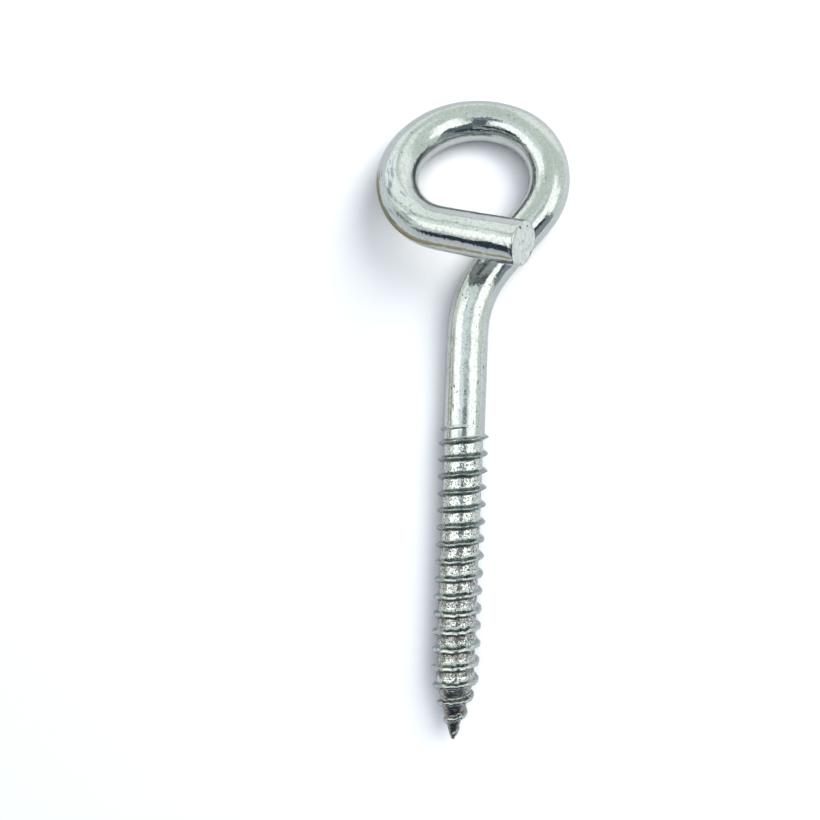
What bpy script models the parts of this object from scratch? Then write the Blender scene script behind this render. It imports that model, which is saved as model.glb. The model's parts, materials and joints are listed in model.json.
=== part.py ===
"""Screw eye: one steel rod with an open, climbing eye at one end and a wood thread at the other.

Units are metres, +Z is up. The rod is drawn with its screw axis along +Y, from the point to the eye,
and is then rolled a little about that axis, to the pose in which it rests on a flat surface.
"""

import math

import bmesh
import bpy
from mathutils import Matrix, Vector

MM = 0.001

# Rod and eye. Distances along the screw axis are counted from the start of the neck bend.
ROD_DIAMETER = 10.2 * MM
SHANK_LENGTH = 96.7 * MM          # from the neck bend down to the tip of the point
NECK_RADIUS = 27.6 * MM           # the neck bends to the right, out from under the eye
NECK_ANGLE = math.radians(38.6)
NECK_STRAIGHT = 15.6 * MM
SIDE_RADIUS = 14.9 * MM           # right-hand side of the eye
SIDE_ANGLE = math.radians(104.7)
TOP_RADIUS = 21.5 * MM            # flatter arc over the top
TOP_ANGLE = math.radians(83.6)
RETURN_RADIUS = 16.5 * MM         # left-hand side, back towards the neck
RETURN_ANGLE = math.radians(103.8)
LEG_LENGTH = 22.8 * MM            # straight free leg that crosses over the neck

# Slope of the centreline out of the eye's plane at the end of each stretch.
NECK_SLOPE = math.radians(4.1)
SIDE_SLOPE = math.radians(-9.7)
TOP_SLOPE = math.radians(21.7)
LEG_SLOPE = math.radians(32.0)

STRETCH_STEP = 2.6 * MM           # longest spacing of centreline points in the neck and eye
BEND_STEP = math.radians(7.5)     # largest turn between two centreline points
CUT_EDGE = 0.35 * MM              # broken edge round the cut end of the leg

# Wood thread, right-handed. Heights along it are counted up from the tip.
PITCH = 4.07 * MM
CREST_DIAMETER = 12.4 * MM        # under the shank
CREST_DIAMETER_LOW = 11.3 * MM    # above the point
ROOT_DIAMETER = 9.6 * MM
ROOT_DIAMETER_LOW = 8.9 * MM
POINT_LENGTH = 13.6 * MM
TIP_DIAMETER = 0.8 * MM
THREAD_START = 1.2 * MM
THREAD_END = 73.7 * MM
THREAD_RUN_OUT = 3.2 * MM         # the ridge fades into the shank over this height
SHANK_STEP = 2.0 * MM             # the shank narrows to the thread root over this height
CREST_POINT_SHARE = 0.27          # ridge height left at the tip, as a share of the full height
RIDGE_ROOT_WIDTH = 1.9 * MM
RIDGE_CREST_WIDTH = 0.5 * MM
RIDGE_SINK = 0.5 * MM             # how far the ridge's foot is buried in the core
STEPS_PER_TURN = 16
CREST_PHASE = math.radians(177.4)  # angle of the ridge round the axis, at the tip

# How the finished object rests: on its upper thread crests and the top of its eye.
REST_ROLL = math.radians(-0.80)   # about Y: the eye rocks until the weight is over the contact line

ZINC_COLOUR = (0.62, 0.65, 0.64, 1.0)
ZINC_ROUGHNESS = 0.28


SMOOTH_ANGLE = math.radians(40.0)


def clear_scene():
    for scene_object in list(bpy.data.objects):
        bpy.data.objects.remove(scene_object, do_unlink=True)


def collection(name):
    new_collection = bpy.data.collections.new(name)
    bpy.context.scene.collection.children.link(new_collection)
    return new_collection


def zinc():
    material = bpy.data.materials.new("bright_zinc")
    material.use_nodes = True
    shader = material.node_tree.nodes["Principled BSDF"]
    shader.inputs["Base Color"].default_value = ZINC_COLOUR
    shader.inputs["Metallic"].default_value = 1.0
    shader.inputs["Roughness"].default_value = ZINC_ROUGHNESS
    return material


def blend(low, high, share):
    return low + (high - low) * min(max(share, 0.0), 1.0)


def root_radius(height):
    """Radius of the thread's core: a cone at the point, then a slight taper up to the shank."""
    if height < POINT_LENGTH:
        return blend(TIP_DIAMETER, ROOT_DIAMETER_LOW, height / POINT_LENGTH) / 2
    along = (height - POINT_LENGTH) / (THREAD_END - POINT_LENGTH)
    core = blend(ROOT_DIAMETER_LOW, ROOT_DIAMETER, along) / 2
    shank = (height - (THREAD_END - SHANK_STEP)) / SHANK_STEP
    return blend(core, ROD_DIAMETER / 2, shank)


def ridge_height(height):
    """Height of the ridge above the core: full along the thread, lower on the point and the run-out."""
    along = (height - POINT_LENGTH) / (THREAD_END - POINT_LENGTH)
    crest = blend(CREST_DIAMETER_LOW, CREST_DIAMETER, along)
    root = blend(ROOT_DIAMETER_LOW, ROOT_DIAMETER, along)
    on_point = blend(CREST_POINT_SHARE, 1.0, height / (0.6 * POINT_LENGTH))
    run_out = blend(0.0, 1.0, (THREAD_END - height) / THREAD_RUN_OUT)
    return (crest - root) / 2 * on_point * run_out


def shank_points():
    """Centreline points and radii from the tip up to the start of the neck bend."""
    heights = [0.0, POINT_LENGTH / 2, POINT_LENGTH, THREAD_END - SHANK_STEP, THREAD_END, SHANK_LENGTH]
    return [(Vector((0.0, height - SHANK_LENGTH, 0.0)), root_radius(height)) for height in heights]


def eye_points():
    """Centreline points from the neck bend round the eye to the end of the leg."""
    stretches = [
        (NECK_RADIUS * NECK_ANGLE, -NECK_ANGLE, NECK_SLOPE / 2),
        (NECK_STRAIGHT, 0.0, NECK_SLOPE),
        (SIDE_RADIUS * SIDE_ANGLE, SIDE_ANGLE, SIDE_SLOPE),
        (TOP_RADIUS * TOP_ANGLE, TOP_ANGLE, TOP_SLOPE),
        (RETURN_RADIUS * RETURN_ANGLE, RETURN_ANGLE, LEG_SLOPE),
        (LEG_LENGTH, 0.0, LEG_SLOPE),
    ]
    place = Vector((0.0, 0.0, 0.0))
    heading = math.pi / 2
    slope = 0.0
    points = []
    for length, turn, end_slope in stretches:
        steps = max(math.ceil(abs(turn) / BEND_STEP), math.ceil(length / STRETCH_STEP / 2), 1)
        for step in range(steps):
            middle = (step + 0.5) / steps
            direction = heading + turn * middle
            climb = slope + (end_slope - slope) * middle
            across = Vector((math.cos(direction), math.sin(direction), 0.0)) * math.cos(climb)
            place = place + (across + Vector((0.0, 0.0, math.sin(climb)))) * (length / steps)
            points.append(place)
        heading += turn
        slope = end_slope
    return points


def rod_points():
    """The whole rod as (place, radius), tip first, with the cut end's edge broken."""
    radius = ROD_DIAMETER / 2
    points = shank_points() + [(place, radius) for place in eye_points()]
    end, before = points[-1][0], points[-2][0]
    along = (end - before).normalized()
    points[-1] = (end - along * CUT_EDGE, radius)
    points.append((end, radius - CUT_EDGE))
    return points


def poly_curve(name, points, target):
    """A 3D curve through (place, radius) points, with straight runs between them."""
    data = bpy.data.curves.new(name, "CURVE")
    data.dimensions = "3D"
    data.use_fill_caps = True
    spline = data.splines.new("POLY")
    spline.points.add(len(points) - 1)
    for point, (place, radius) in zip(spline.points, points):
        point.co = (*place, 1.0)
        point.radius = radius
    curve = bpy.data.objects.new(name, data)
    target.objects.link(curve)
    return curve


def as_mesh(curve, name, target):
    """Replace a curve by the mesh of its surface, with its end caps welded on."""
    bpy.context.view_layer.update()
    evaluated = curve.evaluated_get(bpy.context.evaluated_depsgraph_get())
    mesh = bpy.data.meshes.new_from_object(evaluated)
    body = bmesh.new()
    body.from_mesh(mesh)
    bmesh.ops.remove_doubles(body, verts=body.verts, dist=0.002 * MM)
    bmesh.ops.recalc_face_normals(body, faces=body.faces)
    body.to_mesh(mesh)
    body.free()
    mesh.name = name
    mesh.shade_smooth()
    mesh.set_sharp_from_angle(angle=SMOOTH_ANGLE)
    solid = bpy.data.objects.new(name, mesh)
    solid.matrix_world = curve.matrix_world
    target.objects.link(solid)
    bpy.data.objects.remove(curve, do_unlink=True)
    return solid


def rod(target):
    """The rod with its thread core, as one smooth tube of changing radius."""
    curve = poly_curve("rod_path", rod_points(), target)
    curve.data.bevel_depth = 1.0
    curve.data.bevel_resolution = 8
    return as_mesh(curve, "screw_eye", target)


def ridge_profile(target):
    """Cross-section of the thread ridge: a trapezium one unit high, its foot below the curve."""
    full_height = (CREST_DIAMETER - ROOT_DIAMETER) / 2
    foot = RIDGE_ROOT_WIDTH / full_height / 2
    crest = RIDGE_CREST_WIDTH / full_height / 2
    sink = RIDGE_SINK / full_height
    corners = [(-sink, -foot), (0.0, -foot), (1.0, -crest), (1.0, crest), (0.0, foot), (-sink, foot)]
    data = bpy.data.curves.new("ridge_profile", "CURVE")
    spline = data.splines.new("POLY")
    spline.points.add(len(corners) - 1)
    for point, (out, along) in zip(spline.points, corners):
        point.co = (out, along, 0.0, 1.0)
    spline.use_cyclic_u = True
    profile = bpy.data.objects.new("ridge_profile", data)
    target.objects.link(profile)
    return profile


def ridge(target):
    """The right-handed thread ridge, swept up a helix on the core, to be joined to the rod."""
    profile = ridge_profile(target)
    steps = round((THREAD_END - THREAD_START) / PITCH * STEPS_PER_TURN)
    points = []
    for step in range(steps + 1):
        height = THREAD_START + (THREAD_END - THREAD_START) * step / steps
        angle = CREST_PHASE + 2 * math.pi * height / PITCH
        radius = root_radius(height)
        place = Vector((radius * math.cos(angle), radius * math.sin(angle), height - SHANK_LENGTH))
        points.append((place, max(ridge_height(height), 0.02 * MM)))
    curve = poly_curve("ridge_path", points, target)
    curve.data.bevel_mode = "OBJECT"
    curve.data.bevel_object = profile
    curve.data.twist_mode = "Z_UP"
    curve.rotation_euler = (-math.pi / 2, 0.0, 0.0)
    solid = as_mesh(curve, "thread_ridge", target)
    solid.hide_render = True
    solid.display_type = "WIRE"
    bpy.data.objects.remove(profile, do_unlink=True)
    return solid


def bottom_centre(solids):
    """Middle of the bottom face of the box round several solids, in world space."""
    bpy.context.view_layer.update()
    corners = [solid.matrix_world @ vertex.co for solid in solids for vertex in solid.data.vertices]
    low = [min(corner[axis] for corner in corners) for axis in range(3)]
    high = [max(corner[axis] for corner in corners) for axis in range(3)]
    return Vector(((low[0] + high[0]) / 2, (low[1] + high[1]) / 2, low[2]))


def lay_down(solids, target):
    """Turn the solids into their resting pose, with the origin under the middle of their box."""
    rest = bpy.data.objects.new("rest_pose", None)
    target.objects.link(rest)
    for solid in solids:
        solid.parent = rest
    rest.matrix_world = Matrix.Rotation(REST_ROLL, 4, "Y")
    rest.location = -bottom_centre(solids)


clear_scene()
parts = collection("screw_eye")
cutters = collection("cutters")
body = rod(parts)
thread = ridge(cutters)
lay_down([body, thread], parts)
join = body.modifiers.new("thread", "BOOLEAN")
join.operation = "UNION"
join.object = thread
body.data.materials.append(zinc())
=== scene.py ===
"""Screw eye: the looks. One bent and thread-rolled steel rod, bright zinc plated, lying on a pale floor.

The rod's own lengths are millimetres, along and round the straightened rod. The mesh is in metres.
"""

import json
import math

import bmesh
import bpy
import numpy as np
from mathutils import Matrix, Vector


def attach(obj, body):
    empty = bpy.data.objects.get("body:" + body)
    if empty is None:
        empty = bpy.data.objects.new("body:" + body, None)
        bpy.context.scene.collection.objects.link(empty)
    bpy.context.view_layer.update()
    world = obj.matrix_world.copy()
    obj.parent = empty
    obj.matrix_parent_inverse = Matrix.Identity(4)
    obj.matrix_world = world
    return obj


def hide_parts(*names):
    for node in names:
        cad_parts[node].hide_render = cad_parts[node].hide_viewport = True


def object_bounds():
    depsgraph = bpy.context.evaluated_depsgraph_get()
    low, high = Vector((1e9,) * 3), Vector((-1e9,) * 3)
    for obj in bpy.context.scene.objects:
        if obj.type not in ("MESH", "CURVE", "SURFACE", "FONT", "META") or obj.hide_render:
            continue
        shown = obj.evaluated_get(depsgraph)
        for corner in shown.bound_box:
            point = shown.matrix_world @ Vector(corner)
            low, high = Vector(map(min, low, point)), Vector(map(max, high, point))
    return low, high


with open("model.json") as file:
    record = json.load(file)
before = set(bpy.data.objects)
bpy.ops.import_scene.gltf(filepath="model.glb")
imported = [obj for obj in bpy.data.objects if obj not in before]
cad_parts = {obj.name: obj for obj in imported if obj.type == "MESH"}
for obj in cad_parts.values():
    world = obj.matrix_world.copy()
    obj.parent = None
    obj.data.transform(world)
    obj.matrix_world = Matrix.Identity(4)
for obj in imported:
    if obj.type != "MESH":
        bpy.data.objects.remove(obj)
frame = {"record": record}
cad_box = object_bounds()

MM = 0.001

# The rod, as in the CAD part. Heights are counted from the tip along the screw axis.
ROD_RADIUS = 5.1
SHANK_LENGTH = 96.7
NECK_RADIUS, NECK_ANGLE = 27.6, math.radians(38.6)
NECK_STRAIGHT = 15.6
SIDE_RADIUS, SIDE_ANGLE = 14.9, math.radians(104.7)
TOP_RADIUS, TOP_ANGLE = 21.5, math.radians(83.6)
RETURN_RADIUS, RETURN_ANGLE = 16.5, math.radians(103.8)
LEG_LENGTH = 22.8
NECK_SLOPE, SIDE_SLOPE = math.radians(4.1), math.radians(-9.7)
TOP_SLOPE, LEG_SLOPE = math.radians(21.7), math.radians(32.0)
REST_ROLL = math.radians(-0.8)

# The thread, as in the CAD part.
PITCH = 4.07
THREAD_END = 73.7
CREST_RADIUS, CREST_RADIUS_LOW = 6.2, 5.65
ROOT_RADIUS, ROOT_RADIUS_LOW = 4.8, 4.45
TIP_RADIUS = 0.4
POINT_LENGTH = 13.6
CREST_PHASE = math.radians(177.4)

# The ridge's section: half widths at its foot and at its crest, and how rounded its shoulders are.
RIDGE_FOOT, RIDGE_TOP = 0.87, 0.07
SHOULDER_ROUNDING = 0.3

# Where the ridge and the groove between its turns end.
RIDGE_START = (0.3, 2.0)          # the ridge rises out of the tip between these two heights
POINT_RIDGE = 0.25                # its height at the start of the point, as a share of the full one
POINT_RIDGE_GROWTH = (0.5, 9.0)   # it grows to the full height between these two
RIDGE_FULL_BELOW = 71.2           # the ridge fades between these two heights of its crest
RIDGE_GONE_ABOVE = 74.6
RIDGE_FADE = 0.45                 # below 1 the ridge stays tall for longer and then fades faster
RUN_OUT_DROP = 0.8                # the fading ridge lies this much closer to the full one
RUN_OUT_NARROWING = 0.1           # and is narrower at the foot by this share
GROOVE_END = 71.8                 # height of the groove's middle where it has run out into the shank
GROOVE_FADE = 1.6                 # it does so over this length

# Wear, which sets in down the thread: the crests grow rounder and lean, and the plating is poor.
WEAR_STARTS, WEAR_FULL = 60.0, 20.0
WORN_TOP = 0.17                   # added to the half width of the crest
WORN_ROUNDING = 0.6               # added to the rounding of the shoulders
HEADWARD_FILLET = 0.9             # how much further the worn ridge reaches on the side of the eye
HEADWARD_HOLLOW = 1.6             # and how hollow it is there
HEADWARD_ROUNDING = -0.4          # and how much less rounded at the top
SOILED_LENGTH, SOILED_FADE = 2.5, 0.8  # the rough zone below each crest
SOILED_LEAST = 0.15               # how soiled the unworn thread is

# Depths of the marks on the thread and on the plain rod.
CREST_WANDER, WORN_WANDER = 0.05, 0.08  # the crest wanders by this much along the rod, and more where worn
RIDGE_SWELL, WORN_LUMPS = 0.025, 0.03   # unevenness of the ridge, as shares of its height
NICK_DEPTH, NICKS_ABOVE = 0.09, 1.2     # nicks lie where the ripples rise above this
SEAM_DEPTH, SEAM_WIDTH, SEAM_UNEVENNESS = 0.07, 0.12, 0.6
ROOT_ROUGHNESS = 0.022
ROUGH_ABOVE = (2.0, 10.0)               # the roughness of the groove sets in between these heights
ROD_WAVES, ROD_DENTS = 0.013, 0.006
ROD_WAVE_STRETCH, ROD_DENT_STRETCH = 0.3, 0.7  # below 1 they are drawn out along the rod

# How softly one thing changes into the next, as half lengths along the rod.
POINT_BLEND = 3.0                       # the point into the body of the thread
CREST_BLEND = 0.4                       # one turn's groove into the next one's under a crest

# The cut end of the rod: its rounded rim, the relief of its face, and the mesh rings of both.
CUT_ROUNDING = 0.45
CUT_RELIEF = 0.06
CUT_NICK_DEPTH = 0.25
RIM_UNEVENNESS = 0.35
RIM_TURNS = (0.3, 0.6, 0.85, 1.0)
CUT_RINGS = (0.96, 0.9, 0.83, 0.75, 0.67, 0.59, 0.5, 0.41, 0.32, 0.22, 0.12)

# What the plating depends on at each point of the mesh, as shares from 0 to 1: how deep it lies in the
# groove, how much painted shade darkens the ridge there, and how poor the plating is.
TRAITS = ("groove", "flank", "soiled")

# Mesh resolution.
COLUMNS = 112
ROWS_PER_PITCH = 26
CREST_BIAS = 1.3                  # above 1 crowds the rows towards the crest
ROD_STEP = 0.72
GRID_LOW, GRID_HIGH = 0.25, 75.6  # the helical rows lie between these heights
SHANK_BLEND = 3.0                 # above them the plain rod takes over within this length
FIRST_COLUMN = math.radians(90.0)  # the first column of points runs under the rod
PATH_STEP = 0.1
BEND_EASE = 2.5                   # the curvature changes over this length on each side of a bend's end


# ---------------------------------------------------------------- the rod's shape

def ripples(places, wavelength, seed, waves=24):
    """A smooth random value at each place, about 1 strong: a sum of seeded plane waves."""
    rng = np.random.default_rng(seed)
    directions = rng.normal(size=(waves, 3))
    directions /= np.linalg.norm(directions, axis=1, keepdims=True)
    lengths = wavelength * rng.uniform(0.7, 1.6, waves)
    phases = rng.uniform(0.0, 2 * math.pi, waves)
    angles = places @ (directions / lengths[:, None]).T * 2 * math.pi + phases
    return np.sin(angles).sum(axis=-1) / math.sqrt(waves / 2)


def smooth_step(low, high, value):
    share = np.clip((value - low) / (high - low), 0.0, 1.0)
    return share * share * (3 - 2 * share)


def round_place(radius, angle, height):
    """Place round the straightened rod."""
    return np.stack([radius * np.cos(angle), radius * np.sin(angle), height + 0 * angle], axis=-1)


class RodPath:
    """Centreline from the tip to the cut end, with the side and under directions along it."""

    def __init__(self):
        stretches = [
            (SHANK_LENGTH, 0.0, 0.0),
            (NECK_RADIUS * NECK_ANGLE, -NECK_ANGLE, NECK_SLOPE / 2),
            (NECK_STRAIGHT, 0.0, NECK_SLOPE),
            (SIDE_RADIUS * SIDE_ANGLE, SIDE_ANGLE, SIDE_SLOPE),
            (TOP_RADIUS * TOP_ANGLE, TOP_ANGLE, TOP_SLOPE),
            (RETURN_RADIUS * RETURN_ANGLE, RETURN_ANGLE, LEG_SLOPE),
            (LEG_LENGTH, 0.0, LEG_SLOPE),
        ]
        ends = np.concatenate([[0.0], np.cumsum([length for length, _, _ in stretches])])
        turned = np.concatenate([[0.0], np.cumsum([turn for _, turn, _ in stretches])])
        slopes = [0.0] + [slope for _, _, slope in stretches]
        self.length = ends[-1]
        self.stations = np.linspace(0.0, self.length, round(self.length / PATH_STEP) + 1)
        ease = np.linspace(-BEND_EASE, BEND_EASE, 21)
        heading = math.pi / 2 + np.mean([np.interp(self.stations + e, ends, turned) for e in ease], axis=0)
        slope = np.mean([np.interp(self.stations + e, ends, slopes) for e in ease], axis=0)
        self.along = np.stack(
            [np.cos(heading) * np.cos(slope), np.sin(heading) * np.cos(slope), np.sin(slope)], axis=1)
        steps = (self.along[1:] + self.along[:-1]) / 2 * np.diff(self.stations)[:, None]
        self.centres = np.concatenate([[[0.0, 0.0, 0.0]], np.cumsum(steps, axis=0)])
        self.side = np.empty_like(self.along)
        side = np.array([1.0, 0.0, 0.0])
        for index, direction in enumerate(self.along):
            side = side - direction * (side @ direction)
            side /= np.linalg.norm(side)
            self.side[index] = side
        self.under = np.cross(self.along, self.side)

    def at(self, values, stations):
        return np.stack([np.interp(stations, self.stations, values[:, axis]) for axis in range(3)], axis=-1)

    def surface(self, stations, angles, radii):
        sideways = (radii * np.cos(angles))[..., None] * self.at(self.side, stations)
        downwards = (radii * np.sin(angles))[..., None] * self.at(self.under, stations)
        return self.at(self.centres, stations) + sideways + downwards


def root_radius(height):
    cone = TIP_RADIUS + (ROOT_RADIUS_LOW - TIP_RADIUS) * np.clip(height / POINT_LENGTH, 0.0, 1.0) ** 0.94
    along = np.clip((height - POINT_LENGTH) / (THREAD_END - POINT_LENGTH), 0.0, 1.0)
    return np.where(height < POINT_LENGTH, cone, ROOT_RADIUS_LOW + (ROOT_RADIUS - ROOT_RADIUS_LOW) * along)


def ridge_height(height):
    """Height of the ridge over the root where its crest is at this height from the tip."""
    along = np.clip((height - POINT_LENGTH) / (THREAD_END - POINT_LENGTH), 0.0, 1.0)
    full = (CREST_RADIUS_LOW - ROOT_RADIUS_LOW) * (1 - along) + (CREST_RADIUS - ROOT_RADIUS) * along
    on_point = POINT_RIDGE + (1 - POINT_RIDGE) * smooth_step(*POINT_RIDGE_GROWTH, height)
    fade = np.clip((RIDGE_GONE_ABOVE - height) / (RIDGE_GONE_ABOVE - RIDGE_FULL_BELOW), 0.0, 1.0)
    return full * on_point * fade ** RIDGE_FADE * smooth_step(*RIDGE_START, height)


def crest_near(height, angle):
    """Height of the crest nearest to this place, on the same side of the rod."""
    turns = height / PITCH - (angle - CREST_PHASE) / (2 * math.pi)
    return height - (turns - np.round(turns)) * PITCH


def ridge_share(away, wear, run_out, on_body):
    """How far up the ridge a place is, from 0 in the groove to 1 on the crest."""
    headward = away > 0
    top = RIDGE_TOP + WORN_TOP * wear
    foot = RIDGE_FOOT * (1 - RUN_OUT_NARROWING * run_out) + HEADWARD_FILLET * wear * headward * on_body
    share = np.clip((foot - np.abs(away)) / (foot - top), 0.0, 1.0)
    share = np.where(headward, share ** (1 + HEADWARD_HOLLOW * wear * on_body), share)
    rounding = SHOULDER_ROUNDING + (WORN_ROUNDING + HEADWARD_ROUNDING * headward) * wear
    return share + rounding * share * share * (1 - share)


def uneven_ridge(crest_height, place, wear):
    """Height of the ridge with its unevenness and nicks."""
    swell = RIDGE_SWELL * ripples(place, wavelength=4.0, seed=14)
    lumps = WORN_LUMPS * wear * ripples(place, wavelength=1.2, seed=17)
    nicks = np.clip(ripples(place, wavelength=1.4, seed=12) - NICKS_ABOVE, 0.0, 1.5)
    return ridge_height(crest_height) * (1 + swell + lumps) - NICK_DEPTH * nicks


def rolling_seam(crest_height, place, away, wear):
    """Depth of the fine seam that thread rolling leaves along a crest until it is worn."""
    uneven = 1 + SEAM_UNEVENNESS * ripples(place, wavelength=1.0, seed=13)
    seam = SEAM_DEPTH * np.exp(-(away / SEAM_WIDTH) ** 2) * (1 - wear) * uneven
    return seam * (crest_height < RIDGE_FULL_BELOW)


def shank_share(crest_height, away):
    """How far the groove has run out into the shank, from 0 to 1."""
    below = smooth_step(GROOVE_END - GROOVE_FADE, GROOVE_END, crest_height - PITCH / 2)
    above = smooth_step(GROOVE_END - GROOVE_FADE, GROOVE_END, crest_height + PITCH / 2)
    return below + (above - below) * smooth_step(-CREST_BLEND, CREST_BLEND, away)


def root_bumps(root, height, angle):
    """The roughness of the groove's floor, about 1 strong above the point."""
    bumps = ripples(round_place(root, angle, height), wavelength=1.1, seed=15)
    return bumps * smooth_step(*ROUGH_ABOVE, height)


def flank_share(share, tall, wear):
    """1 on the ridge, where its flanks are painted in shade, except along its crest where that is worn
    bright.
    """
    on_ridge = np.clip(3 * share, 0.0, 1.0) * (1 - wear * smooth_step(0.7, 1.0, share))
    return on_ridge * (tall > 0.2)


def soiled_share(away, wear, on_body):
    """How poor the plating is, which is worst just below a crest."""
    below_crest = smooth_step(SOILED_LENGTH + SOILED_FADE, SOILED_LENGTH - SOILED_FADE, -away % PITCH)
    return below_crest * (SOILED_LEAST + (1 - SOILED_LEAST) * wear) * on_body


def thread_surface(height, angle):
    """Radius of the threaded part at a height and an angle, and its traits there."""
    crest_height = crest_near(height, angle)
    place = round_place(ROD_RADIUS, angle, crest_height)
    wear = smooth_step(WEAR_STARTS, WEAR_FULL, crest_height)
    run_out = smooth_step(RIDGE_FULL_BELOW, THREAD_END, crest_height)
    on_body = smooth_step(POINT_LENGTH - POINT_BLEND, POINT_LENGTH + POINT_BLEND, crest_height)
    wander = CREST_WANDER * ripples(place, wavelength=3.0, seed=11)
    wander = wander + WORN_WANDER * wear * ripples(place, wavelength=1.5, seed=16)
    away = height - crest_height + RUN_OUT_DROP * run_out + wander
    share = ridge_share(away, wear, run_out, on_body)
    tall = uneven_ridge(crest_height, place, wear)
    seam = rolling_seam(crest_height, place, away, wear)
    shank = shank_share(crest_height, away)
    root = root_radius(height)
    groove = root + ROOT_ROUGHNESS * (1 - share) * root_bumps(root, height, angle)
    threaded = groove + np.maximum(tall, 0.0) * share - seam * share
    core = groove + (ROD_RADIUS - groove) * shank
    # Painted shade on the ridge's flanks.
    flank = flank_share(share, tall, wear) / np.maximum(1 - shank, 0.01)
    soiled = (1 - share) * soiled_share(away, wear, on_body)
    traits = np.stack([1 - share, flank, soiled], axis=-1)
    return np.maximum(threaded, core), traits * (1 - shank)[..., None]


def rod_surface(station, angle):
    """Radius of the plain rod: round, with the slight waves left by drawing, bending and plating."""
    wave_place = round_place(ROD_RADIUS, angle, station * ROD_WAVE_STRETCH)
    dent_place = round_place(ROD_RADIUS, angle, station * ROD_DENT_STRETCH)
    waves = ripples(wave_place, wavelength=5.0, seed=21)
    dents = ripples(dent_place, wavelength=2.2, seed=22)
    return ROD_RADIUS + ROD_WAVES * waves + ROD_DENTS * dents


# ---------------------------------------------------------------- the mesh

def column_angles():
    return FIRST_COLUMN + 2 * math.pi * np.arange(COLUMNS) / COLUMNS


def helical_heights():
    """Heights of the grid rows of each column, which follow the thread and stop at the grid's ends."""
    spread = np.linspace(-1.0, 1.0, ROWS_PER_PITCH + 1)[:-1]
    phases = np.sign(spread) * np.abs(spread) ** CREST_BIAS / 2
    turns = math.ceil((GRID_HIGH - GRID_LOW) / PITCH) + 4
    rows = (np.arange(turns)[:, None] + phases[None, :]).ravel()
    crest = (FIRST_COLUMN - CREST_PHASE) / (2 * math.pi) * PITCH
    first = crest + (math.floor((GRID_LOW - crest) / PITCH) - 1) * PITCH
    columns = np.arange(COLUMNS)[:, None] / COLUMNS
    return np.clip(first + PITCH * (rows[None, :] + columns), GRID_LOW, GRID_HIGH)


class RodMesh:
    """Collects the rod's points and faces ring by ring, with each point's place on the straight rod."""

    def __init__(self, path):
        self.path = path
        self.points = []
        self.places = []
        self.traits = []
        self.faces = []
        self.cut_faces = 0
        self.count = 0

    def add(self, stations, angles, radii, traits=(0.0, 0.0, 0.0), raised=None):
        """Adds points and returns their numbers. raised moves them along the rod's end direction."""
        where = self.path.surface(stations, angles, radii)
        if raised is not None:
            where = where + raised[..., None] * self.path.at(self.path.along, stations)
        self.points.append(where.reshape(-1, 3))
        self.places.append(round_place(radii, angles, stations).reshape(-1, 3))
        self.traits.append(np.broadcast_to(traits, radii.shape + (len(TRAITS),)).reshape(-1, len(TRAITS)))
        numbers = np.arange(self.count, self.count + radii.size).reshape(radii.shape)
        self.count += radii.size
        return numbers

    def face(self, corners):
        kept = [corner for index, corner in enumerate(corners) if corner != corners[index - 1]]
        if len(kept) > 2:
            self.faces.append(kept)

    def strip(self, lower, upper):
        """Joins two rings of the same number of points."""
        for here in range(COLUMNS):
            after = (here + 1) % COLUMNS
            self.face([lower[here], lower[after], upper[after], upper[here]])

    def fan(self, pole, ring, upwards):
        for here in range(COLUMNS):
            after = (here + 1) % COLUMNS
            corners = [pole, ring[here], ring[after]]
            self.face(corners if upwards else corners[::-1])


def add_thread(mesh):
    """The helical grid. Returns the numbers of its lowest and highest ring."""
    angles = column_angles()
    heights = helical_heights()
    all_angles = np.broadcast_to(angles[:, None], heights.shape)
    inside = (heights > GRID_LOW) & (heights < GRID_HIGH)
    surface = thread_surface(heights[inside], all_angles[inside])
    numbers = np.empty(heights.shape, int)
    numbers[inside] = mesh.add(heights[inside], all_angles[inside], *surface)
    rings = []
    for height, outside in ((GRID_LOW, heights <= GRID_LOW), (GRID_HIGH, heights >= GRID_HIGH)):
        level = np.full(COLUMNS, height)
        ring = mesh.add(level, angles, *thread_surface(level, angles))
        numbers[outside] = np.broadcast_to(ring[:, None], heights.shape)[outside]
        rings.append(ring)
    for column in range(COLUMNS):
        here = numbers[column]
        after = numbers[column + 1] if column + 1 < COLUMNS else numbers[0][ROWS_PER_PITCH:]
        for row in range(len(after) - 1):
            mesh.face([here[row], after[row], after[row + 1], here[row + 1]])
    return rings


def add_tip(mesh, ring):
    """The blunted tip below the grid."""
    angles = column_angles()
    radii, _ = thread_surface(np.full(COLUMNS, GRID_LOW), angles)
    for share in (0.75, 0.5, 0.25):
        level = np.full(COLUMNS, GRID_LOW * (1 - math.sqrt(1 - share * share)))
        lower = mesh.add(level, angles, radii * share)
        mesh.strip(lower, ring)
        ring = lower
    pole = mesh.add(np.zeros(1), np.zeros(1), np.zeros(1))[0]
    mesh.fan(pole, ring, upwards=False)


def add_plain_rod(mesh, ring):
    """The shank above the thread, the neck, the eye and the leg, up to the cut end's rounding."""
    angles = column_angles()
    last = mesh.path.length - CUT_ROUNDING
    stations = np.linspace(GRID_HIGH, last, round((last - GRID_HIGH) / ROD_STEP) + 1)[1:]
    for station in stations:
        level = np.full(COLUMNS, station)
        plain = rod_surface(level, angles)
        threaded, _ = thread_surface(level, angles)
        share = smooth_step(GRID_HIGH, GRID_HIGH + SHANK_BLEND, station)
        upper = mesh.add(level, angles, threaded + (plain - threaded) * share)
        mesh.strip(ring, upper)
        ring = upper
    return ring


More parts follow.
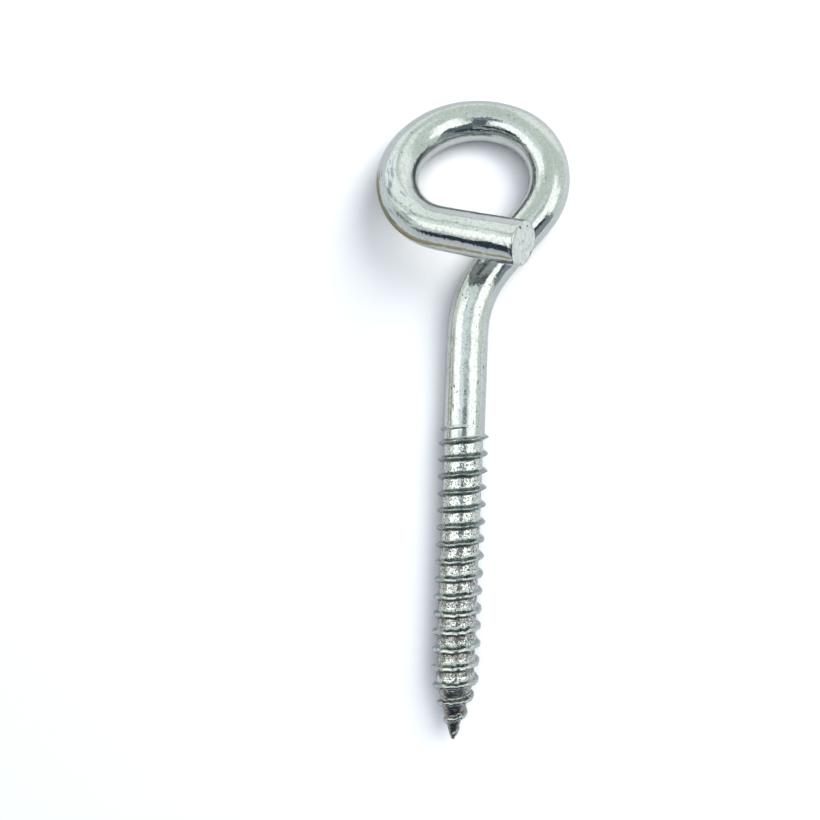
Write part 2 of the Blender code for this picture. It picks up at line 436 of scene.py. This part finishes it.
def add_cut_end(mesh, ring):
    """The sheared face: its rounded rim, the marks of the blade and a few nicks."""
    angles = column_angles()
    end = mesh.path.length
    rim = rod_surface(np.full(COLUMNS, end - CUT_ROUNDING), angles)
    uneven = 1 + RIM_UNEVENNESS * ripples(round_place(ROD_RADIUS, angles, 0.0), wavelength=5.0, seed=31)
    for share in RIM_TURNS:
        turn = share * math.pi / 2
        level = np.full(COLUMNS, end - CUT_ROUNDING * (1 - math.sin(turn)))
        upper = mesh.add(level, angles, rim - CUT_ROUNDING * (1 - math.cos(turn)) * uneven)
        mesh.strip(ring, upper)
        ring = upper
    rim = rim - CUT_ROUNDING * uneven
    first_cut_face = len(mesh.faces)
    for share in CUT_RINGS:
        radii = rim * share
        place = round_place(radii, angles, 0.0)
        torn = ripples(place * [1.0, 0.35, 1.0], wavelength=0.9, seed=32)
        nicks = np.clip(ripples(place, wavelength=1.6, seed=33) - 1.3, 0.0, 1.0)
        relief = CUT_RELIEF * (0.5 * torn - 1.0) * (1 - share ** 6) - CUT_NICK_DEPTH * nicks
        upper = mesh.add(np.full(COLUMNS, end), angles, radii, raised=relief)
        mesh.strip(ring, upper)
        ring = upper
    pole = mesh.add(np.full(1, end), np.zeros(1), np.zeros(1), raised=np.full(1, -CUT_RELIEF))[0]
    mesh.fan(pole, ring, upwards=True)
    mesh.cut_faces = len(mesh.faces) - first_cut_face


def make_rod(place):
    """The whole rod as one closed mesh, with what the materials need stored on its points."""
    mesh = RodMesh(RodPath())
    low_ring, high_ring = add_thread(mesh)
    add_tip(mesh, low_ring)
    add_cut_end(mesh, add_plain_rod(mesh, high_ring))
    points = np.concatenate(mesh.points)
    data = bpy.data.meshes.new("screw_eye_rod")
    data.from_pydata((points * MM).tolist(), [], mesh.faces)
    data.transform(place)
    attribute = data.attributes.new("rod_place", "FLOAT_VECTOR", "POINT")
    attribute.data.foreach_set("vector", np.concatenate(mesh.places).astype(np.float32).ravel())
    for name, values in zip(TRAITS, np.concatenate(mesh.traits).T):
        attribute = data.attributes.new(name, "FLOAT", "POINT")
        attribute.data.foreach_set("value", values.astype(np.float32))
    data.polygons.foreach_set("use_smooth", np.ones(len(data.polygons), bool))
    slots = np.zeros(len(data.polygons), int)
    slots[len(slots) - mesh.cut_faces:] = 1
    data.polygons.foreach_set("material_index", slots)
    data.validate()
    rod = bpy.data.objects.new("screw_eye_rod", data)
    bpy.context.scene.collection.objects.link(rod)
    return rod


# ---------------------------------------------------------------- node helpers

def add_node(tree, kind, inputs=None, **settings):
    """A new node. inputs gives each input's value, or the output that feeds it."""
    made = tree.nodes.new(kind)
    for name, value in settings.items():
        setattr(made, name, value)
    for name, value in (inputs or {}).items():
        if isinstance(value, bpy.types.NodeSocket):
            tree.links.new(value, made.inputs[name])
        else:
            made.inputs[name].default_value = value
    return made


def math_node(tree, operation, first, second):
    return add_node(tree, "ShaderNodeMath", {0: first, 1: second}, operation=operation).outputs[0]


def step_node(tree, value, low, high, start=0.0, end=1.0):
    """Goes smoothly from start to end while value goes from low to high."""
    made = add_node(
        tree, "ShaderNodeMapRange",
        {"Value": value, "From Min": low, "From Max": high, "To Min": start, "To Max": end},
        interpolation_type="SMOOTHSTEP")
    return made.outputs["Result"]


def noise_node(tree, place, stretch, scale, detail=3.0, roughness=0.55):
    """Noise of scale features a millimetre, drawn out along the rod where stretch is below 1."""
    scaled = add_node(
        tree, "ShaderNodeVectorMath", {0: place, 1: (scale, scale, scale * stretch)}, operation="MULTIPLY")
    made = add_node(
        tree, "ShaderNodeTexNoise",
        {"Vector": scaled.outputs[0], "Scale": 1.0, "Detail": detail, "Roughness": roughness})
    return made.outputs["Fac"]


def mix_node(tree, share, first, second):
    made = add_node(tree, "ShaderNodeMix", {0: share, 6: first, 7: second}, data_type="RGBA")
    return made.outputs[2]


def new_material(name):
    material = bpy.data.materials.new(name)
    material.use_nodes = True
    tree = material.node_tree
    shader = next(node for node in tree.nodes if node.type == "BSDF_PRINCIPLED")
    return material, tree, shader


def bump_node(tree, height, depth, under=None):
    """Bump of a height from 0 to 1, depth metres deep, on top of another bump."""
    inputs = {"Height": height, "Distance": depth, "Strength": 1.0}
    if under is not None:
        inputs["Normal"] = under
    return add_node(tree, "ShaderNodeBump", inputs).outputs["Normal"]


# ---------------------------------------------------------------- materials

# Bright zinc plating and the marks on it.
ZINC_DULL, ZINC_CLEAR = (0.435, 0.456, 0.445, 1), (0.50, 0.515, 0.512, 1)
ZINC_STREAK, ZINC_GRAIN = (0.30, 0.33, 0.33, 1), (0.27, 0.30, 0.30, 1)
# Of the next two colours, the first is a painted highlight that makes the grooves paler, the second is
# painted shade on the ridge's flanks.
ZINC_GROOVE_HIGHLIGHT, ZINC_FLANK_SHADE = (0.66, 0.68, 0.66, 1), (0.20, 0.235, 0.235, 1)
ZINC_EDGE_TINT = (0.72, 0.74, 0.73, 1)
GRIME_DARK, GRIME_PALE = (0.13, 0.128, 0.118, 1), (0.30, 0.295, 0.275, 1)
STAIN_DARK, STAIN_BROWN = (0.11, 0.105, 0.10, 1), (0.18, 0.10, 0.085, 1)
PIT, SPECK, SCUFF = (0.045, 0.047, 0.045, 1), (0.10, 0.11, 0.12, 1), (0.11, 0.14, 0.20, 1)

# Heights from the tip between which the marks fade in.
CRINKLED = (11.0, 15.0)                # crinkles in the grooves
STAINED_POINT = (14.0, 8.0)            # brown stains, downwards
SPECKS_FULL = (150.0, 100.0)           # more specks, downwards
SCUFF_START, SCUFF_END = (192.0, 202.0), (210.0, 220.0)  # rub marks on the eye fade in, and out again

# The sheared end, the card and the tan strip.
SHEARED_DARK, SHEARED_PALE = (0.49, 0.525, 0.505, 1), (0.64, 0.67, 0.65, 1)
SHEARED_NICK = (0.06, 0.07, 0.07, 1)
CARD_DARK, CARD_PALE = (0.88, 0.89, 0.90, 1), (0.90, 0.91, 0.92, 1)
TAN_DARK, TAN_PALE, TAN_FADED = (0.38, 0.32, 0.13, 1), (0.48, 0.41, 0.18, 1), (0.50, 0.47, 0.35, 1)


class ZincPattern:
    """What the plating's colour, gloss and relief share: the stored traits, the noises and the dirt."""

    def __init__(self, tree):
        place = add_node(tree, "ShaderNodeAttribute", attribute_name="rod_place").outputs["Vector"]
        self.place = place
        self.height = add_node(tree, "ShaderNodeSeparateXYZ", {0: place}).outputs["Z"]
        self.groove, self.flank, soiled = (
            add_node(tree, "ShaderNodeAttribute", attribute_name=trait).outputs["Fac"] for trait in TRAITS)
        self.clouds = noise_node(tree, place, stretch=0.5, scale=0.12, detail=3.0)
        self.streaks = noise_node(tree, place, stretch=0.08, scale=1.1, detail=2.0)
        self.ripple = noise_node(tree, place, stretch=0.6, scale=0.9, detail=1.0)
        self.grain = noise_node(tree, place, stretch=0.8, scale=1.9, detail=1.0)
        self.crumbs = noise_node(tree, place, stretch=1.0, scale=2.4, detail=1.0)
        patches = step_node(tree, self.crumbs, 0.35, 0.65, start=-0.45, end=0.45)
        self.soil = step_node(tree, math_node(tree, "ADD", soiled, patches), 0.35, 0.75, end=0.85)
        pits = step_node(tree, noise_node(tree, place, stretch=1.0, scale=2.7, detail=1.0), 0.60, 0.66)
        self.pits = math_node(tree, "MULTIPLY", pits, step_node(tree, self.groove, 0.3, 0.9))


def plated_colour(tree, pattern):
    """The clean plating: streaked and grained, paler in the grooves as a painted highlight, and darkened on
    the ridge's flanks with painted shade.
    """
    colour = mix_node(tree, step_node(tree, pattern.clouds, 0.35, 0.65), ZINC_DULL, ZINC_CLEAR)
    colour = mix_node(tree, step_node(tree, pattern.streaks, 0.62, 0.80, end=0.4), colour, ZINC_STREAK)
    colour = mix_node(tree, step_node(tree, pattern.grain, 0.45, 0.72, end=0.35), colour, ZINC_GRAIN)
    # Painted highlight: the grooves paler than the rest of the plating.
    colour = mix_node(tree, math_node(tree, "MULTIPLY", pattern.groove, 0.5), colour, ZINC_GROOVE_HIGHLIGHT)
    # Painted shade darkens the ridge's flanks, broken up by the crumbs.
    crumbled = step_node(tree, pattern.crumbs, 0.35, 0.65, start=0.45, end=1.0)
    return mix_node(tree, math_node(tree, "MULTIPLY", pattern.flank, crumbled), colour, ZINC_FLANK_SHADE)


def stained_colour(tree, pattern, colour):
    """Adds the grime of the worn thread, the brown stains on the point and the pits in the grooves."""
    grime = mix_node(tree, step_node(tree, pattern.grain, 0.4, 0.6), GRIME_DARK, GRIME_PALE)
    colour = mix_node(tree, pattern.soil, colour, grime)
    blotches = noise_node(tree, pattern.place, stretch=1.0, scale=0.35, detail=2.0)
    stain = mix_node(tree, step_node(tree, blotches, 0.40, 0.62), STAIN_DARK, STAIN_BROWN)
    on_point = step_node(tree, pattern.height, *STAINED_POINT, end=0.7)
    colour = mix_node(tree, math_node(tree, "MULTIPLY", pattern.groove, on_point), colour, stain)
    return mix_node(tree, pattern.pits, colour, PIT)


def specks_node(tree, pattern):
    """Small dark specks in drifts, fewer on the eye than on the shank."""
    drifts = noise_node(tree, pattern.place, stretch=0.3, scale=0.22, detail=2.0)
    speckle = noise_node(tree, pattern.place, stretch=0.5, scale=1.8, detail=1.0, roughness=0.65)
    on_eye = step_node(tree, pattern.height, *SPECKS_FULL, start=-0.035, end=0.0)
    speckle = math_node(tree, "ADD", speckle, step_node(tree, drifts, 0.45, 0.75, end=0.10))
    speckle = math_node(tree, "ADD", speckle, on_eye)
    return step_node(tree, speckle, 0.69, 0.76, end=0.85)


def scuffs_node(tree, pattern):
    """Dark rub marks along the outside of the eye, where it was pressed round in the bending tool."""
    begin = step_node(tree, pattern.height, *SCUFF_START)
    finish = step_node(tree, pattern.height, *SCUFF_END, start=1.0, end=0.0)
    along = math_node(tree, "MULTIPLY", begin, finish)
    outwards = add_node(tree, "ShaderNodeSeparateXYZ", {0: pattern.place}).outputs["X"]
    zone = math_node(tree, "MULTIPLY", along, step_node(tree, outwards, 0.5, 3.0))
    rubbed = noise_node(tree, pattern.place, stretch=0.25, scale=0.85, detail=2.0)
    return math_node(tree, "MULTIPLY", zone, step_node(tree, rubbed, 0.52, 0.66, end=0.75))


def zinc_roughness(tree, pattern):
    """Glossy, less so in clouds and grains, and dull where the plating is soiled or pitted."""
    rough = step_node(tree, pattern.clouds, 0.3, 0.7, start=0.05, end=0.12)
    rough = math_node(tree, "ADD", rough, step_node(tree, pattern.grain, 0.4, 0.7, end=0.05))
    rough = math_node(tree, "ADD", rough, math_node(tree, "MULTIPLY", pattern.soil, 0.25))
    return math_node(tree, "ADD", rough, math_node(tree, "MULTIPLY", pattern.pits, 0.4))


def zinc_relief(tree, pattern):
    """Drawing lines, soft ripples and a fine grain all over, and crinkles and pits in the grooves."""
    bump = bump_node(tree, pattern.streaks, 0.03 * MM)
    bump = bump_node(tree, pattern.ripple, 0.04 * MM, bump)
    bump = bump_node(tree, pattern.grain, 0.018 * MM, bump)
    crinkled = math_node(tree, "MULTIPLY", pattern.groove, step_node(tree, pattern.height, *CRINKLED))
    crinkles = noise_node(tree, pattern.place, stretch=1.0, scale=1.7, detail=1.0)
    bump = bump_node(tree, math_node(tree, "MULTIPLY", crinkles, crinkled), 0.06 * MM, bump)
    return bump_node(tree, math_node(tree, "SUBTRACT", 1.0, pattern.pits), 0.12 * MM, bump)


def bright_zinc():
    """Bright zinc plating: clear over the bent rod, pitted and darker in the thread's grooves."""
    material, tree, shader = new_material("bright_zinc")
    pattern = ZincPattern(tree)
    colour = stained_colour(tree, pattern, plated_colour(tree, pattern))
    colour = mix_node(tree, specks_node(tree, pattern), colour, SPECK)
    colour = mix_node(tree, scuffs_node(tree, pattern), colour, SCUFF)
    tree.links.new(colour, shader.inputs["Base Color"])
    tree.links.new(zinc_roughness(tree, pattern), shader.inputs["Roughness"])
    tree.links.new(zinc_relief(tree, pattern), shader.inputs["Normal"])
    shader.inputs["Metallic"].default_value = 1.0
    shader.inputs["Specular Tint"].default_value = ZINC_EDGE_TINT
    return material


def sheared_zinc():
    """The plated cut face: matt, torn by the blade, with a few dark nicks."""
    material, tree, shader = new_material("sheared_zinc")
    place = add_node(tree, "ShaderNodeAttribute", attribute_name="rod_place").outputs["Vector"]
    torn = noise_node(tree, place, stretch=1.0, scale=0.9, detail=4.0)
    across = add_node(tree, "ShaderNodeVectorMath", {0: place, 1: (1.0, 1.0, 0.0)}, operation="MULTIPLY")
    radius = add_node(tree, "ShaderNodeVectorMath", {0: across.outputs[0]}, operation="LENGTH")
    rim = step_node(tree, radius.outputs["Value"], 2.8, 4.7, end=0.07)
    nicks = noise_node(tree, place, stretch=1.0, scale=1.2, detail=2.0)
    nicks = step_node(tree, math_node(tree, "ADD", nicks, rim), 0.67, 0.71)
    colour = mix_node(tree, step_node(tree, torn, 0.35, 0.65), SHEARED_DARK, SHEARED_PALE)
    colour = mix_node(tree, nicks, colour, SHEARED_NICK)
    tree.links.new(colour, shader.inputs["Base Color"])
    tree.links.new(step_node(tree, torn, 0.3, 0.7, start=0.42, end=0.60), shader.inputs["Roughness"])
    shader.inputs["Metallic"].default_value = 0.85
    bump = bump_node(tree, torn, 0.08 * MM)
    bump = bump_node(tree, math_node(tree, "SUBTRACT", 1.0, nicks), 0.1 * MM, bump)
    tree.links.new(bump, shader.inputs["Normal"])
    return material


def paper_white(name, glow=0.0):
    """Smooth white card, lit from behind where it glows."""
    material, tree, shader = new_material(name)
    place = add_node(tree, "ShaderNodeTexCoord").outputs["Object"]
    fibres = add_node(tree, "ShaderNodeTexNoise", {"Vector": place, "Scale": 900.0, "Detail": 3.0})
    white = mix_node(tree, fibres.outputs["Fac"], CARD_DARK, CARD_PALE)
    tree.links.new(white, shader.inputs["Base Color"])
    tree.links.new(white, shader.inputs["Emission Color"])
    shader.inputs["Emission Strength"].default_value = glow
    shader.inputs["Roughness"].default_value = 0.7
    return material


def tan_lacquer(left, right):
    """Tan lacquer that fades to grey from the strip's right edge to its left one."""
    material, tree, shader = new_material("tan_strip")
    place = add_node(tree, "ShaderNodeTexCoord").outputs["Object"]
    bands = add_node(tree, "ShaderNodeTexNoise", {"Vector": place, "Scale": 400.0}).outputs["Fac"]
    tan = mix_node(tree, bands, TAN_DARK, TAN_PALE)
    across = add_node(tree, "ShaderNodeSeparateXYZ", {0: place}).outputs["X"]
    tan = mix_node(tree, step_node(tree, across, right, left), tan, TAN_FADED)
    tree.links.new(tan, shader.inputs["Base Color"])
    shader.inputs["Roughness"].default_value = 0.6
    return material


# ---------------------------------------------------------------- studio

FLOOR_SIZE = 3.0
BACKDROP_RADIUS = 0.45 * FLOOR_SIZE
BACKDROP_GLOW = 0.6
STRIP = (-42.0, -21.5, -100.0, 60.0, 3.0)  # left, right, front, back and height of the tan strip, in mm

# The colours of the surroundings that the metal reflects.
PALE = (1.05, 1.18, 1.09, 1)
BACK = (1.52, 1.63, 1.58, 1)
WHITE = (2.15, 2.18, 2.13, 1)
SKY = (1.28, 1.42, 1.45, 1)
EDGE = (0.42, 0.45, 0.38, 1)
GREY = (0.80, 0.90, 0.92, 1)
SHADE = (0.42, 0.50, 0.56, 1)
DIM = (0.29, 0.37, 0.43, 1)
DARK = (0.20, 0.24, 0.28, 1)
ROOM = (0.05, 0.075, 0.11, 1)
LOW = (0.40, 0.45, 0.45, 1)

# Panels by direction: colour, degrees to the right of the zenith (from, to), degrees behind it (from, to),
# and how soft the edges are. A later panel covers an earlier one.
FAR_PANELS = (
    (BACK, (-85, -10), (47, 100), 5.0),
    (BACK, (8, 70), (47, 100), 5.0),
    (BACK, (-12, 10), (84, 100), 3.0),
    (BACK, (-72, -50), (12, 36), 5.0),
    (EDGE, (-100, -83), (-14, 11), 2.0),
    (WHITE, (17, 42), (-27, 18), 5.0),
    (WHITE, (38, 61), (-22, 9), 5.0),
)

# The dark room in front: colour, degrees from the zenith (from, to), softness. The bands fade in
# where a direction points forwards by these shares.
FRONT_START = (0.28, 0.42)
FRONT_BANDS = (
    (ROOM, (45, 76), 2.0),
    (LOW, (77, 95), 2.0),
)

# Panels painted over the others and over the bands.
NEAR_PANELS = (
    (SHADE, (50, 90), (-60, -27), 3.0),
    (WHITE, (-72, -34), (-11, 20), 3.0),
    (GREY, (-30, -11), (-43, -33), 3.0),
    (WHITE, (-69, -11), (-34, -4), 3.0),
    (ROOM, (-85, -64), (-62, -24), 4.0),
    (SKY, (-36, 6), (-2, 14), 4.0),
    (DARK, (12, 46), (-50, -28), 3.0),
    (DARK, (-7, 12), (-44, -10), 3.5),
    (DIM, (-15, 9), (-10, 3), 4.0),
)

# The lights: place and size in metres, energy and colour.
KEY_LIGHT = ((0.35, 0.30, 0.60), 0.6, 4.6, (1.0, 0.99, 0.97))
FILL_LIGHT = ((0.0, 0.0, 4.5), 6.0, 215.0, (0.87, 0.92, 1.0))


def add_sheet(name, across, along, level, material):
    """A flat rectangle between two places across and two along the floor."""
    (left, right), (front, back) = across, along
    data = bpy.data.meshes.new(name)
    corners = [(left, front, level), (right, front, level), (right, back, level), (left, back, level)]
    data.from_pydata(corners, [], [(0, 1, 2, 3)])
    data.materials.append(material)
    sheet = bpy.data.objects.new(name, data)
    bpy.context.scene.collection.objects.link(sheet)
    return sheet


def make_floor(level):
    """A flat sheet of card, lying just under the rod."""
    half = FLOOR_SIZE / 2
    floor = add_sheet("floor", (-half, half), (-half, half), level, paper_white("white_card"))


def make_backdrop(level):
    """A white dome standing round the floor, which only the camera sees."""
    mesh = bmesh.new()
    bmesh.ops.create_icosphere(mesh, subdivisions=4, radius=BACKDROP_RADIUS)
    data = bpy.data.meshes.new("backdrop")
    mesh.to_mesh(data)
    mesh.free()
    data.transform(Matrix.Translation((0.0, 0.0, level)))
    backdrop = bpy.data.objects.new("backdrop", data)
    bpy.context.scene.collection.objects.link(backdrop)
    data.materials.append(paper_white("backdrop", BACKDROP_GLOW))
    backdrop.visible_glossy = False
    backdrop.visible_diffuse = False
    backdrop.visible_shadow = False


def make_strip():
    """A low tan strip beside the object, which only the metal reflects, low on its left side."""
    left, right, front, back, level = (value * MM for value in STRIP)
    strip = add_sheet("tan_strip", (left, right), (front, back), level, tan_lacquer(left, right))
    strip.visible_camera = False
    strip.visible_diffuse = False
    strip.visible_shadow = False


class Surroundings:
    """The light all round, painted by direction: degrees to the right of and behind the zenith."""

    def __init__(self, tree, colour):
        self.tree = tree
        self.colour = colour
        direction = add_node(tree, "ShaderNodeTexCoord").outputs["Generated"]
        direction = add_node(tree, "ShaderNodeVectorMath", {0: direction}, operation="NORMALIZE").outputs[0]
        parts = add_node(tree, "ShaderNodeSeparateXYZ", {0: direction}).outputs
        from_zenith = math_node(tree, "ARCCOSINE", parts["Z"], 0.0)
        level = math_node(tree, "MAXIMUM", math_node(tree, "SINE", from_zenith, 0.0), 0.001)
        self.from_zenith = math_node(tree, "DEGREES", from_zenith, 0.0)
        spread = math_node(tree, "DIVIDE", self.from_zenith, level)
        self.right = math_node(tree, "MULTIPLY", parts["X"], spread)
        self.behind = math_node(tree, "MULTIPLY", parts["Y"], spread)
        self.forward = math_node(tree, "DIVIDE", math_node(tree, "MULTIPLY", parts["Y"], -1.0), level)

    def between(self, value, low, high, soft):
        """1 between low and high and 0 outside, with soft edges."""
        rise = step_node(self.tree, value, low - soft, low + soft)
        fall = step_node(self.tree, value, high - soft, high + soft, start=1.0, end=0.0)
        return math_node(self.tree, "MULTIPLY", rise, fall)

    def panel(self, colour, right, behind, soft):
        """A soft-edged rectangle of light."""
        share = math_node(self.tree, "MULTIPLY", self.between(self.right, *right, soft),
                          self.between(self.behind, *behind, soft))
        self.colour = mix_node(self.tree, share, self.colour, colour)

    def front_band(self, colour, from_zenith, soft):
        """A band round the front, between two angles from the zenith."""
        share = math_node(self.tree, "MULTIPLY", self.between(self.from_zenith, *from_zenith, soft),
                          step_node(self.tree, self.forward, *FRONT_START))
        self.colour = mix_node(self.tree, share, self.colour, colour)


def make_surroundings():
    """White panels to the left and right, pale surroundings behind, and the dark room in front."""
    world = bpy.data.worlds.new("studio")
    bpy.context.scene.world = world
    world.use_nodes = True
    tree = world.node_tree
    background = next(node for node in tree.nodes if node.type == "BACKGROUND")
    light = Surroundings(tree, PALE)
    for panel in FAR_PANELS:
        light.panel(*panel)
    for band in FRONT_BANDS:
        light.front_band(*band)
    for panel in NEAR_PANELS:
        light.panel(*panel)
    tree.links.new(light.colour, background.inputs["Color"])
    background.inputs["Strength"].default_value = 1.0
    world.cycles_visibility.diffuse = False


def add_light(name, place, size, energy, colour):
    """A round soft light aimed at the object, which the metal doesn't reflect."""
    data = bpy.data.lights.new(name, "AREA")
    data.shape = "DISK"
    data.size = size
    data.energy = energy
    data.color = colour
    light = bpy.data.objects.new(name, data)
    bpy.context.scene.collection.objects.link(light)
    light.location = place
    light.rotation_euler = (-light.location).to_track_quat("-Z", "Y").to_euler()
    light.visible_glossy = False
    light.visible_camera = False


def make_lights():
    """The key light from the upper right gives the shadows their side, the fill comes from above."""
    add_light("key_light", *KEY_LIGHT)
    add_light("fill_light", *FILL_LIGHT)


# ---------------------------------------------------------------- camera

CAMERA_PLACE = Vector((-13.786, -3.901, 222.125)) * MM
CAMERA_AZIMUTH = math.radians(0.914)
CAMERA_ELEVATION = math.radians(84.14)
CAMERA_ROLL = math.radians(1.56)
CAMERA_LENS, CAMERA_SENSOR = 38.55, 36.0
CAMERA_SHIFT = (-0.0007, -0.0957)


def make_camera():
    data = bpy.data.cameras.new("camera")
    data.lens = CAMERA_LENS
    data.sensor_width = CAMERA_SENSOR
    data.shift_x, data.shift_y = CAMERA_SHIFT
    data.clip_start, data.clip_end = 0.01, 10.0
    camera = bpy.data.objects.new("camera", data)
    bpy.context.scene.collection.objects.link(camera)
    turn = Matrix.Rotation(CAMERA_AZIMUTH, 4, "Z")
    tilt = Matrix.Rotation(math.pi / 2 - CAMERA_ELEVATION, 4, "X")
    roll = Matrix.Rotation(CAMERA_ROLL, 4, "Z")
    camera.matrix_world = Matrix.Translation(CAMERA_PLACE) @ turn @ tilt @ roll
    bpy.context.scene.camera = camera


# ---------------------------------------------------------------- scene

thread_end = Vector(frame["record"]["mounts"][0]["pos_m"])
tip = thread_end - Vector((0.0, THREAD_END * MM, 0.0))
rod = make_rod(Matrix.Translation(tip) @ Matrix.Rotation(REST_ROLL, 4, "Y"))
rod.data.materials.append(bright_zinc())
rod.data.materials.append(sheared_zinc())
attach(rod, "root")
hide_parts("screw_eye")

make_floor(cad_box[0].z)
make_backdrop(cad_box[0].z)
make_strip()
make_surroundings()
make_lights()
make_camera()
bpy.context.scene.view_settings.view_transform = "Standard"
